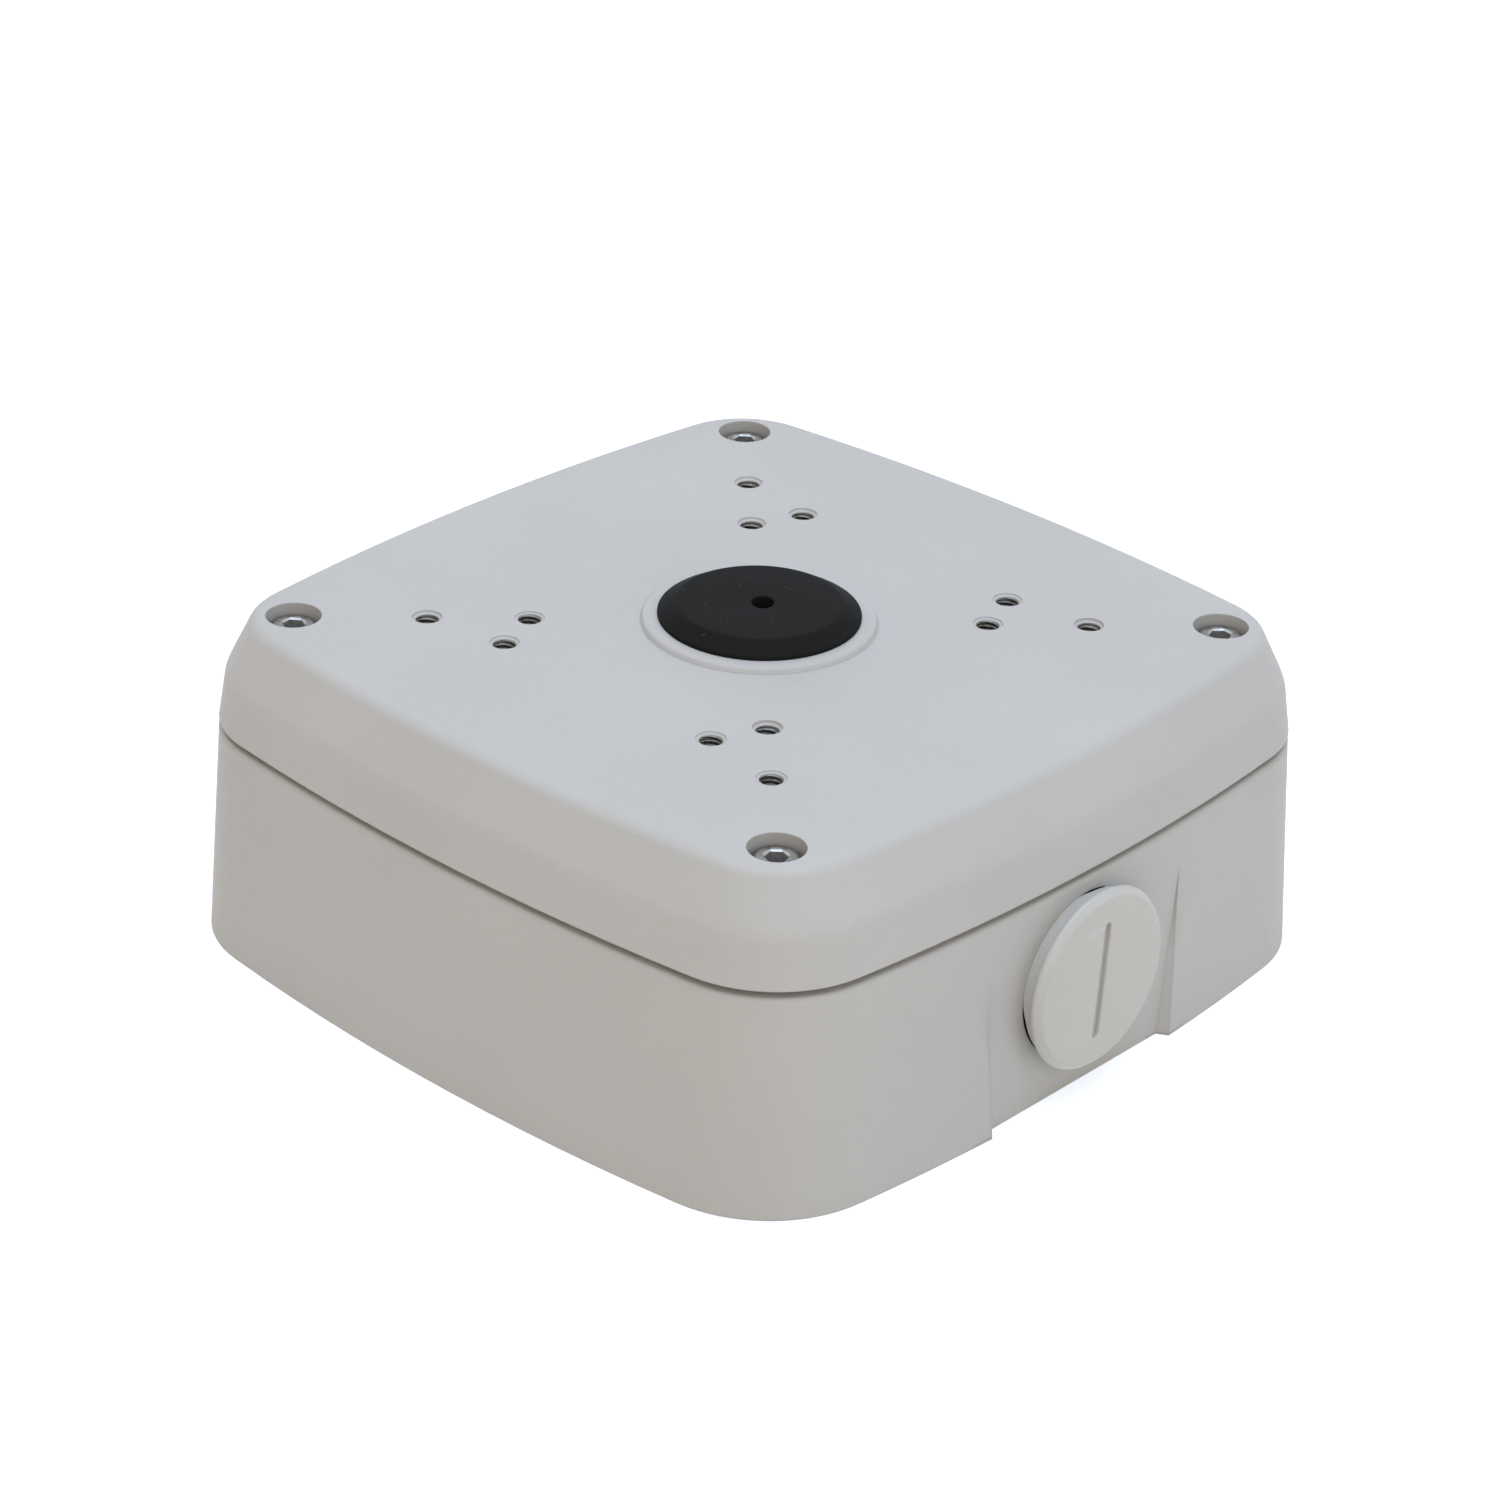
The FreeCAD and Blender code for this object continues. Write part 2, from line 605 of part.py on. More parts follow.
def make_cable_grommet():
    """A bevelled head on the collar, a neck through the cover and a lip that holds it from inside."""
    body = add_body("cable_grommet")
    flange = "Sizes.grommet_flange_diameter / 2"
    crown = "Sizes.grommet_crown_diameter / 2"
    neck = "Sizes.grommet_hole_diameter / 2"
    pinhole = "Sizes.grommet_pinhole_diameter / 2"
    edge_top = COLLAR_TOP + " + Sizes.grommet_flange_edge"
    top = edge_top + " + Sizes.grommet_bevel_height"
    lip = neck + " + Sizes.grommet_lip_overlap"
    lip_bottom = COVER_CEILING + " - Sizes.grommet_lip_height"
    web_bottom = top + " - Sizes.grommet_web_thickness"
    bore = neck + " - Sizes.grommet_wall"
    tip = lip + " - Sizes.grommet_lip_taper"
    section = add_sketch(body, "grommet_section", ZERO, "XZ_Plane")
    add_polygon(section, ((pinhole, top), (crown, top), (flange, edge_top), (flange, COLLAR_TOP),
                          (neck, COLLAR_TOP), (neck, COVER_CEILING), (lip, COVER_CEILING),
                          (tip, lip_bottom), (bore, lip_bottom), (bore, web_bottom),
                          (pinhole, web_bottom)))
    revolve(body, "grommet", section)
    return body


# Cover screws and washers

def make_cover_screw(index, x_sign, y_sign):
    body = add_body("cover_screw_%d" % index)
    shank = "Sizes.screw_thread_diameter / 2"
    head = "Sizes.screw_head_diameter / 2"
    end = times(-1, "Sizes.screw_length")
    section = add_sketch(body, "screw_section_%d" % index, ZERO, "XZ_Plane")
    add_polygon(section, ((ZERO, "Sizes.screw_head_height"), (head, "Sizes.screw_head_height"),
                          (head, ZERO), (shank, ZERO), (shank, end), (ZERO, end)))
    revolve(body, "screw_%d" % index, section)
    socket = add_sketch(body, "hex_socket_%d" % index, "Sizes.screw_head_height")
    corner = "Sizes.hex_key_size / sqrt(3)"
    add_polygon(socket, [("%s * cos(%d deg)" % (corner, angle), "%s * sin(%d deg)" % (corner, angle))
                         for angle in range(0, FULL_TURN, 60)])
    extrude("Pocket", body, "hex_recess_%d" % index, socket, "Sizes.hex_key_depth")
    set_down(body, x_sign, y_sign, HEAD_SEAT)
    return body


def make_cover_screw_washer(index, x_sign, y_sign):
    body = add_body("cover_screw_washer_%d" % index)
    ring = add_sketch(body, "washer_circles_%d" % index)
    add_circle(ring, "Sizes.washer_outer_diameter")
    add_circle(ring, "Sizes.washer_inner_diameter")
    extrude("Pad", body, "washer_%d" % index, ring, "Sizes.washer_thickness")
    set_down(body, x_sign, y_sign, WASHER_SEAT)
    return body


def set_down(body, x_sign, y_sign, level):
    """Stand a piece on a corner screw's axis."""
    body.setExpression("Placement.Base.x", times(x_sign, SCREW_X))
    body.setExpression("Placement.Base.y", times(y_sign, SCREW_X))
    body.setExpression("Placement.Base.z", level)


# Side plug, modelled with its head up and then turned to face -Y

def make_side_plug():
    body = add_body("side_plug")
    head = "Sizes.plug_head_diameter / 2"
    thread = "Sizes.port_thread_diameter / 2"
    bore = thread + " - Sizes.plug_wall"
    under = "Sizes.plug_seal_thickness"
    top = under + " + Sizes.plug_head_height"
    end = under + " - Sizes.plug_thread_length"
    bevel = "Sizes.plug_head_chamfer"
    section = add_sketch(body, "plug_section", ZERO, "XZ_Plane")
    add_polygon(section, ((ZERO, top), (head + " - " + bevel, top), (head, top + " - " + bevel),
                          (head, under), (thread, under), (thread, end), (bore, end), (bore, ZERO),
                          (ZERO, ZERO)))
    revolve(body, "plug_body", section)
    slot = add_sketch(body, "plug_slot_outline", top)
    lean = FreeCAD.Rotation(vector(0, 0, -1), number("Sizes.plug_slot_lean"))
    slot.AttachmentOffset = FreeCAD.Placement(vector(0, 0, number(top)), lean)
    slot.setExpression("AttachmentOffset.Base.z", top)
    slot.setExpression("AttachmentOffset.Rotation.Angle", "Sizes.plug_slot_lean")
    add_slot(slot, "Sizes.plug_slot_length", "Sizes.plug_slot_width")
    extrude("Pocket", body, "plug_slot", slot, "Sizes.plug_slot_depth")
    face_side(body)
    return body


def add_slot(sketch, length, width):
    """A slot with round ends along the sketch's vertical axis, centred on the origin."""
    radius = number(width) / 2
    reach = number(length) / 2 - radius
    right = math.pi / 2
    upper = add_arc(sketch, (0, reach), radius, 0, 2 * right, 0)
    left = add_line(sketch, (-radius, reach), (-radius, -reach), 0)
    lower = add_arc(sketch, (0, -reach), radius, 2 * right, 4 * right, 0)
    side = add_line(sketch, (radius, -reach), (radius, reach), 0)
    join_smoothly(sketch, ((upper, END, left, START), (left, END, lower, START),
                           (lower, END, side, START), (side, END, upper, START)))
    hold_radii(sketch, [upper], width + " / 2")
    middle = "(%s - %s) / 2" % (length, width)
    place_point(sketch, upper, CENTRE, ZERO, middle)
    place_point(sketch, lower, CENTRE, ZERO, times(-1, middle))


def make_side_plug_seal():
    body = add_body("side_plug_seal")
    ring = add_sketch(body, "plug_seal_circles")
    add_circle(ring, "Sizes.plug_head_diameter - 2 * Sizes.plug_seal_margin")
    add_circle(ring, "Sizes.port_thread_diameter + 2 * Sizes.thread_running_gap")
    extrude("Pad", body, "plug_seal", ring, "Sizes.plug_seal_thickness")
    face_side(body)
    return body


def face_side(body):
    """Turn a piece's up direction to -Y and set it on the flat of the side port."""
    body.Placement = FreeCAD.Placement(vector(0, 0, 0), FreeCAD.Rotation(vector(1, 0, 0), 90))
    body.setExpression("Placement.Base.y", times(-1, PORT_FLAT))
    body.setExpression("Placement.Base.z", PORT_HEIGHT)


def make_all():
    bodies = [make_base_housing(), make_cover(), make_cover_gasket(), make_cable_grommet(),
              make_side_plug(), make_side_plug_seal()]
    for index, (x_sign, y_sign) in enumerate(CORNERS, start=1):
        bodies.append(make_cover_screw(index, x_sign, y_sign))
        bodies.append(make_cover_screw_washer(index, x_sign, y_sign))
    return bodies


def check_and_export(bodies):
    doc.recompute()
    for item in doc.Objects:
        if "Invalid" in item.State or "Error" in item.State:
            raise RuntimeError("%s failed to recompute" % item.Name)
    for body in bodies:
        if body.Shape.isNull() or not body.Shape.isValid() or len(body.Shape.Solids) != 1:
            raise RuntimeError("%s is not one valid solid" % body.Label)
    os.makedirs("parts", exist_ok=True)
    for body in bodies:
        body.Shape.exportStep("parts/%s.step" % body.Label)
        print("%-24s %10.1f mm3" % (body.Label, body.Shape.Volume))


check_and_export(make_all())
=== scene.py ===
import math

import bmesh
import bpy
from mathutils import Matrix, Vector


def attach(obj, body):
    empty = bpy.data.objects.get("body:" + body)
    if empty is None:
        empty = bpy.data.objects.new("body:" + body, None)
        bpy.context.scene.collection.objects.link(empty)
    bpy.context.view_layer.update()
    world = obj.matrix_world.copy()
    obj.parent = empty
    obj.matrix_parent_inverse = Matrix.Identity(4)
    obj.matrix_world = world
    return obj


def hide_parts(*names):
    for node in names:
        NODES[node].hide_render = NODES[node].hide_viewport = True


# Looks of a camera junction box: two powder-coated castings, a rubber cable grommet, four socket
# screws in their pockets and a slotted screw plug in the side entry.
# The part's own lengths are in millimetres until a mesh is placed. Blender's unit is the metre,
# and the floor, the lamps and the camera are in metres from the start.

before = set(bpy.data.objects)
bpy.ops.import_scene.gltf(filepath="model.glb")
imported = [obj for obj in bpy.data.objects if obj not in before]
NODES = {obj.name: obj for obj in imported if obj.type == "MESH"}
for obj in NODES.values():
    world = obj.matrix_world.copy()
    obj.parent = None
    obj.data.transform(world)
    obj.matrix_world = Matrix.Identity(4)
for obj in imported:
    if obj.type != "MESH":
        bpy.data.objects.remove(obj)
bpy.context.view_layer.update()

MM = 0.001
CORNERS = ((1, 1), (-1, 1), (-1, -1), (1, -1))

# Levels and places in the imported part
COVER_TOP = 51.66
CEILING = 48.66  # the underside of the cover's plate
COLLAR_TOP = 52.61
BASE_HOLE_TOP = 35.6
BASE_THREAD_FOOT = 24.6
SCREW_PLACE = 48.87
HEAD_SEAT = 46.36
PORT_FLAT = 64.75
PORT_HEIGHT = 18.8

# Cable grommet: its levels, and the pinhole, which is off the middle and stretched along a line
GROMMET_TOP = 54.81
GROMMET_WEB = 52.21  # the underside of the web with the pinhole
GROMMET_FOOT = 44.66
PINHOLE_SHIFT = (0.27, -0.33)
PINHOLE_LINE = (0.74, 0.67)
PINHOLE_STRETCH = 0.17
PINHOLE_CORE, PINHOLE_REACH = 3.0, 9.0  # rings follow it wholly, or not at all

# Threads
M4_PITCH = 0.7
PORT_PITCH = 1.5
CREST_HALF = 0.0625  # half the width of an outer thread's crest, in shares of its pitch
FLANK = 0.3125  # the width of one of its flanks, in the same shares
TAP_DEPTH = 5.2
TAP_MOUTH = 0.6
# Places of the tapped holes in one quarter, each with its coated mouth's depth at the four corners
TAP_PLACES = (
    ((34.882, 34.882), (0.42, 0.40, 0.20, 0.52)),
    ((24.148, 24.148), (0.42, 0.15, 0.58, 0.25)),
    ((32.45, 20.95), (0.46, 0.30, 0.25, 0.30)),
)

# Cover screws, measured from their seat, and the turns of their sockets at the four corners
SCREW_LENGTH = 20.0
HEAD_HEIGHT = 4.0
SOCKET_ACROSS = 3.0
SOCKET_CHAMFER = 0.22
SOCKET_DEPTH = 2.0
SOCKET_TURNS = (10.0, 5.0, 13.1, 20.0)

# Side plug: the slot in its face, and the short cracks between its collar and the wall, each with
# its height and, in degrees, its middle and width
PLUG_SLOT_SHIFT = -0.12
PLUG_SLOT_DEPTH = 0.95
PLUG_CRACKS = ((0.52, 207, 22), (0.42, 83, 11))

PORT_PLACE = (Matrix.Translation(Vector((0, -PORT_FLAT, PORT_HEIGHT)) * MM)
              @ Matrix.Rotation(math.pi / 2, 4, "X"))


# Mesh building

class Shape:
    """Points and faces in millimetres, made of rings that are bridged to one another."""

    def __init__(self):
        self.points = []
        self.faces = []
        self.second = set()  # the faces that take the piece's second material

    def ring(self, points):
        start = len(self.points)
        self.points += [tuple(p) for p in points]
        return list(range(start, len(self.points)))

    def bridge(self, lower, upper):
        count = len(lower)
        for i in range(count):
            j = (i + 1) % count
            self.faces.append((lower[i], lower[j], upper[j], upper[i]))

    def cap(self, ring, centre, upward=True):
        middle = self.ring([centre])[0]
        count = len(ring)
        for i in range(count):
            j = (i + 1) % count
            self.faces.append((ring[i], ring[j], middle) if upward else (ring[j], ring[i], middle))

    def stack(self, rings):
        """Bridge a list of point lists in turn and return the index rings."""
        made = [self.ring(points) for points in rings]
        for lower, upper in zip(made, made[1:]):
            self.bridge(lower, upper)
        return made

    def build(self, name, place, sharp=35.0):
        """Make the mesh, welded and smooth but for edges sharper than an angle in degrees."""
        mesh = bpy.data.meshes.new(name)
        mesh.from_pydata([Vector(p) * MM for p in self.points], [], self.faces)
        for index in self.second:
            mesh.polygons[index].material_index = 1
        work = bmesh.new()
        work.from_mesh(mesh)
        bmesh.ops.remove_doubles(work, verts=work.verts, dist=2e-7)
        bmesh.ops.dissolve_degenerate(work, edges=work.edges, dist=1e-7)
        bmesh.ops.recalc_face_normals(work, faces=work.faces)
        for face in work.faces:
            face.smooth = True
        limit = math.radians(sharp)
        for edge in work.edges:
            edge.smooth = len(edge.link_faces) == 2 and edge.calc_face_angle(0.0) < limit
        work.to_mesh(mesh)
        work.free()
        mesh.transform(place)
        piece = bpy.data.objects.new(name, mesh)
        bpy.context.scene.collection.objects.link(piece)
        return piece


def circle(radius, level, count):
    angles = [2 * math.pi * i / count for i in range(count)]
    return [(radius * math.cos(angle), radius * math.sin(angle), level) for angle in angles]


def hexagon(across, level, count, turn):
    """Points on a hexagon with a corner at the angle turn, near the points of a circle."""
    step = 2 * math.pi / count
    shift = turn - round(turn / step) * step
    points = []
    for i in range(count):
        angle = step * i + shift
        from_corner = (angle - turn + math.pi / 6) % (math.pi / 3) - math.pi / 6
        radius = across / 2 / math.cos(math.pi / 6 - abs(from_corner))
        points.append((radius * math.cos(angle), radius * math.sin(angle), level))
    return points


def rounded(corners, steps=5):
    """A profile of (radius, level) points from corners that each carry their own rounding too."""
    places = [corner[:2] for corner in corners]
    out = [places[0]]
    for i in range(1, len(corners) - 1):
        corner = Vector(places[i])
        before = Vector(places[i - 1]) - corner
        after = Vector(places[i + 1]) - corner
        size = corners[i][2]
        if size <= 0:
            out.append(tuple(corner))
            continue
        half = before.angle(after) / 2
        reach = size / math.tan(half)
        start = corner + before.normalized() * reach
        end = corner + after.normalized() * reach
        inward = (before.normalized() + after.normalized()).normalized()
        centre = corner + inward * size / math.sin(half)
        first, last = (start - centre).normalized(), (end - centre).normalized()
        out += [tuple(centre + first.slerp(last, k / steps) * size) for k in range(steps + 1)]
    out.append(places[-1])
    return out


def lathe(name, profile, count, place, ring=circle):
    """A turned ring from a profile of (radius, level) points that ends where it starts."""
    shape = Shape()
    rings = shape.stack([ring(radius, level, count) for radius, level in profile[:-1]])
    shape.bridge(rings[-1], rings[0])
    return shape.build(name, place)


def thread_rings(shape, minor, major, pitch, low, high, count, end_radius):
    """A right-handed outer thread between two levels. Rows follow the helix; returns its end rings.

    end_radius gives the largest radius allowed at a level, which makes the run-outs.
    """
    corners = (0.0, 0.5 - CREST_HALF - FLANK, 0.5 - CREST_HALF, 0.5 + CREST_HALF,
               0.5 + CREST_HALF + FLANK)
    rows_per_turn = len(corners)

    def radius_at(level, angle):
        phase = (level / pitch - angle / (2 * math.pi)) % 1.0
        share = min(max((CREST_HALF + FLANK - abs(phase - 0.5)) / FLANK, 0.0), 1.0)
        return min(minor + (major - minor) * share, end_radius(level))

    turns = range(math.floor(low / pitch) - 1, math.ceil(high / pitch) + 2)
    rows = []
    for base_level in [(turn + corner) * pitch for turn in turns for corner in corners]:
        row = []
        for i in range(count):
            angle = 2 * math.pi * i / count
            level = min(max(base_level + pitch * angle / (2 * math.pi), low), high)
            radius = radius_at(level, angle)
            row.append((radius * math.cos(angle), radius * math.sin(angle), level))
        rows.append(shape.ring(row))
    for j in range(len(rows) - 1):
        here, above = rows[j], rows[j + 1]
        for i in range(count - 1):
            shape.faces.append((here[i], here[i + 1], above[i + 1], above[i]))
        # a row's last point meets the first point of the row that is one turn further up
        near = min(j + rows_per_turn, len(rows) - 1)
        far = min(j + 1 + rows_per_turn, len(rows) - 1)
        if near != far:
            shape.faces.append((here[-1], rows[near][0], rows[far][0], above[-1]))
    return rows[0], rows[-1]


def inner_thread(name, wall, crest, pitch, low, high, count, place):
    """The ridge of a right-handed inner thread, half a pitch out of step with the outer one.

    Its turns meet at the wall, so that together they line the whole hole.
    """
    tip = 0.1 * pitch
    root = 0.502 * pitch
    foot = wall + 0.02
    start = math.ceil(low / pitch * count)
    end = math.floor(high / pitch * count)
    fade = count // 3
    shape = Shape()
    rings = []
    for step in range(start, end + 1):
        angle = 2 * math.pi * (step % count) / count
        level = pitch * step / count
        # the ridge starts and ends thin
        share = min(min(step - start, end - step) / fade, 1.0)
        top = wall - (wall - crest) * max(share, 0.03)
        width_in = tip * max(share, 0.2)
        width_out = root * max(share, 0.25)
        section = ((foot, -width_out), (top, -width_in), (top, width_in), (foot, width_out))
        rings.append(shape.ring([(radius * math.cos(angle), radius * math.sin(angle), level + rise)
                                 for radius, rise in section]))
    for lower, upper in zip(rings, rings[1:]):
        shape.bridge(lower, upper)
    shape.faces.append(tuple(reversed(rings[0])))
    shape.faces.append(tuple(rings[-1]))
    return shape.build(name, place, sharp=40.0)


def stand_at(x, y, level):
    return Matrix.Translation(Vector((x, y, level)) * MM)


# Materials

class Nodes:
    """A material in the making, with short calls for adding and joining nodes."""

    def __init__(self, name):
        self.material = bpy.data.materials.new(name)
        self.material.use_nodes = True
        self.tree = self.material.node_tree
        self.shader = self.tree.nodes["Principled BSDF"]
        self.place = self.add("ShaderNodeTexCoord").outputs["Object"]

    def add(self, kind, **values):
        node = self.tree.nodes.new(kind)
        for key, value in values.items():
            setattr(node, key, value)
        return node

    def join(self, source, target):
        self.tree.links.new(source, target)

    def feed(self, target, value):
        """Set a socket to a number or a colour, or join another node's output to it."""
        if isinstance(value, bpy.types.NodeSocket):
            self.join(value, target)
        else:
            target.default_value = value if isinstance(value, float) else (*value, 1.0)

    def axes(self):
        """The object's own x, y and z, in metres."""
        parts = self.add("ShaderNodeSeparateXYZ")
        self.join(self.place, parts.inputs[0])
        return tuple(parts.outputs)

    def noise(self, scale, detail=2.0, roughness=0.5, stretch=None):
        node = self.add("ShaderNodeTexNoise")
        node.inputs["Scale"].default_value = scale
        node.inputs["Detail"].default_value = detail
        node.inputs["Roughness"].default_value = roughness
        source = self.place
        if stretch:
            mapping = self.add("ShaderNodeMapping")
            mapping.inputs["Scale"].default_value = stretch
            self.join(source, mapping.inputs["Vector"])
            source = mapping.outputs["Vector"]
        self.join(source, node.inputs["Vector"])
        return node.outputs["Fac"]

    def cells(self, scale):
        node = self.add("ShaderNodeTexVoronoi")
        node.inputs["Scale"].default_value = scale
        self.join(self.place, node.inputs["Vector"])
        return node.outputs["Distance"]

    def spread(self, source, low, high, to_low, to_high):
        """Map a value from one range to another, held at the ends."""
        node = self.add("ShaderNodeMapRange")
        node.inputs["From Min"].default_value = low
        node.inputs["From Max"].default_value = high
        node.inputs["To Min"].default_value = to_low
        node.inputs["To Max"].default_value = to_high
        self.join(source, node.inputs["Value"])
        return node.outputs["Result"]

    def ranged(self, noise, to_low=0.0, to_high=1.0):
        """A noise, whose values mostly lie between 0.3 and 0.7, brought to another range."""
        return self.spread(noise, 0.3, 0.7, to_low, to_high)

    def blend(self, share, first, second):
        """A colour between two."""
        node = self.add("ShaderNodeMix", data_type="RGBA")
        for index, value in ((0, share), (6, first), (7, second)):
            self.feed(node.inputs[index], value)
        return node.outputs[2]

    def math(self, operation, first, second=0.0):
        node = self.add("ShaderNodeMath", operation=operation)
        self.feed(node.inputs[0], first)
        self.feed(node.inputs[1], second)
        return node.outputs[0]

    def window(self, source, low, high, soft=0.2):
        """1 where a length lies between two values, in millimetres, and 0 outside."""
        rise = self.spread(source, (low - soft) * MM, low * MM, 0.0, 1.0)
        fall = self.spread(source, high * MM, (high + soft) * MM, 1.0, 0.0)
        return self.math("MULTIPLY", rise, fall)

    def bump(self, *heights, edge_radius=None):
        """Chain bumps of (height, depth in millimetres) onto softened edges, into the shader."""
        normal = None
        if edge_radius:
            soft = self.add("ShaderNodeBevel", samples=6)
            self.join(edge_radius, soft.inputs["Radius"])
            normal = soft.outputs["Normal"]
        for height, depth in heights:
            node = self.add("ShaderNodeBump")
            node.inputs["Distance"].default_value = depth * MM
            self.join(height, node.inputs["Height"])
            if normal:
                self.join(normal, node.inputs["Normal"])
            normal = node.outputs["Normal"]
        self.join(normal, self.shader.inputs["Normal"])

    def colour(self, source):
        self.join(source, self.shader.inputs["Base Color"])

    def roughness(self, source):
        self.join(source, self.shader.inputs["Roughness"])

    def metallic(self, source):
        self.join(source, self.shader.inputs["Metallic"])

    def fixed(self, **values):
        for key, value in values.items():
            self.shader.inputs[key.replace("_", " ")].default_value = value


def grey(value):
    return (value, value, value)


def coat_edge_radius(made):
    """The coat rounds every edge, and more so the rim, the collar and the flat's steps."""
    everywhere, on_rim, on_collar = 0.3 * MM, 1.0 * MM, 0.4 * MM
    on_steps_low, on_steps_high = 0.8 * MM, 3.2 * MM
    x, y, z = made.axes()
    square = made.math("ADD", made.math("MULTIPLY", x, x), made.math("MULTIPLY", y, y))
    around = made.math("SQRT", square)
    steps = made.math("MULTIPLY", made.window(made.math("ABSOLUTE", x), 17.0, 24.0),
                      made.window(y, -67.5, -64.0))
    steps = made.math("MULTIPLY", steps, made.window(z, -1.0, 31.5))
    rim = made.window(z, 33.2, 34.8)
    collar = made.math("MULTIPLY", made.window(around, 15.5, 19.5), made.window(z, 51.0, 53.5))
    # the steps fade out as they climb
    fading = made.spread(z, 13.0 * MM, 22.0 * MM, on_steps_low, on_steps_high)
    radius = made.math("ADD", made.math("MULTIPLY", steps, fading), everywhere)
    radius = made.math("ADD", made.math("MULTIPLY", rim, on_rim), radius)
    return made.math("ADD", made.math("MULTIPLY", collar, on_collar), radius)


def powder_coat():
    """Pale grey powder coat: fine grain, a slight orange peel and hardly any colour change."""
    made = Nodes("powder_coat")
    grain = made.noise(2600.0, 3.0, 0.6)
    peel = made.noise(620.0)
    cloud = made.noise(28.0, 3.0)
    base = made.blend(made.ranged(cloud), grey(0.545), grey(0.575))
    speck = made.spread(grain, 0.25, 0.42, 0.22, 0.0)
    made.colour(made.blend(speck, base, grey(0.45)))
    made.roughness(made.ranged(peel, 0.5, 0.62))
    made.bump((peel, 0.02), (grain, 0.018), edge_radius=coat_edge_radius(made))
    made.fixed(IOR=1.5)
    return made.material


def rubber(name, tone, dust):
    """Moulded rubber: a matt grain, rare specks of dust and a soft sheen."""
    made = Nodes(name)
    grain = made.noise(3200.0)
    cloud = made.noise(60.0, 4.0)
    base = made.blend(made.ranged(cloud), grey(tone * 0.85), grey(tone * 1.2))
    speck = made.spread(made.cells(900.0), 0.07, 0.13, 1.0, 0.0)
    rare = made.spread(made.noise(260.0, 1.0), 0.56, 0.62, 0.0, dust)
    made.colour(made.blend(made.math("MULTIPLY", speck, rare), base, grey(0.35)))
    made.roughness(made.ranged(cloud, 0.54, 0.67))
    made.bump((grain, 0.012))
    made.fixed(Specular_IOR_Level=0.04)
    return made.material


def plug_plastic():
    """Satin moulded plastic, a little whiter and smoother than the coat."""
    made = Nodes("plug_plastic")
    cloud = made.noise(35.0, 3.0)
    grain = made.noise(420.0)
    made.colour(made.blend(made.ranged(cloud), (0.56, 0.56, 0.545), (0.59, 0.59, 0.575)))
    made.roughness(made.ranged(grain, 0.28, 0.34))
    made.bump((grain, 0.003))
    return made.material


def turned_steel():
    """Turned stainless steel with fine rings left by the tool."""
    made = Nodes("screw_steel")
    marks = made.noise(1500.0, 3.0, stretch=(1.0, 1.0, 5.0))
    stain = made.noise(300.0, 3.0)
    made.colour(made.blend(made.ranged(stain), (0.20, 0.192, 0.178), (0.26, 0.25, 0.235)))
    made.roughness(made.ranged(marks, 0.28, 0.4))
    made.bump((marks, 0.004))
    made.fixed(Metallic=1.0)
    return made.material


def socket_steel_painted_glint_and_shade():
    """The screws' sockets: a lighter, fully metallic chamfer as a painted highlight at the socket's
    mouth, over matt walls in a dark grey as painted shade inside the socket.
    """
    made = Nodes("socket_steel_painted_glint_and_shade")
    marks = made.noise(1500.0, 3.0)
    height = made.axes()[2]
    foot = HEAD_SEAT + HEAD_HEIGHT - SOCKET_CHAMFER
    chamfer = made.spread(height, (foot - 0.04) * MM, (foot + 0.02) * MM, 0.0, 1.0)
    # painted shade: the socket's walls take a dark grey, so that the socket reads dark inside
    matt = made.blend(made.ranged(marks), grey(0.2), grey(0.32))
    # painted highlight: the chamfer is lighter than the walls, to show the glint at the socket's
    # mouth
    made.colour(made.blend(chamfer, matt, grey(0.42)))
    made.roughness(made.spread(chamfer, 0.0, 1.0, 0.5, 0.4))
    made.metallic(made.spread(chamfer, 0.0, 1.0, 0.2, 1.0))
    made.bump((marks, 0.004))
    return made.material


def cut_metal():
    """Bare casting metal in the tapped threads, dull, its colour kept dark as painted shade inside
    the holes.
    """
    made = Nodes("cut_metal")
    marks = made.noise(1800.0, 3.0)
    # painted shade: a dark colour, so that the threads read as dark as the shaded holes
    made.colour(made.blend(made.ranged(marks), (0.12, 0.112, 0.10), (0.26, 0.245, 0.22)))
    made.roughness(made.ranged(marks, 0.35, 0.5))
    made.bump((marks, 0.004))
    made.fixed(Metallic=0.9)
    return made.material


COAT = powder_coat()
GROMMET_RUBBER = rubber("grommet_rubber", 0.0122, 0.22)
SEAL_RUBBER = rubber("seal_rubber", 0.012, 0.1)
PLUG_PLASTIC = plug_plastic()
STEEL = turned_steel()
SOCKET_GLINT_AND_SHADE = socket_steel_painted_glint_and_shade()
CUT_METAL = cut_metal()


def dress(piece, material):
    # clear() also resets the faces' material numbers, so a new mesh goes without it
    if len(piece.data.materials):
        piece.data.materials.clear()
    piece.data.materials.append(material)


def finish_piece(piece, body, slot, material, *replaced):
    dress(piece, material)
    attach(piece, body)
    if replaced:
        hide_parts(*replaced)


# Castings, gasket and washers keep their solids

def dress_solid(name, material):
    """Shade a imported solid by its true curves: join its faces' edges, split real corners."""
    piece = NODES[name]
    dress(piece, material)
    for polygon in piece.data.polygons:
        polygon.use_smooth = True
    weld = piece.modifiers.new("weld", "WELD")
    weld.merge_threshold = 1e-6
    split = piece.modifiers.new("corners", "EDGE_SPLIT")
    split.split_angle = math.radians(24)
    split.use_edge_sharp = False
    piece.modifiers.new("weight", "WEIGHTED_NORMAL")


# Cable grommet

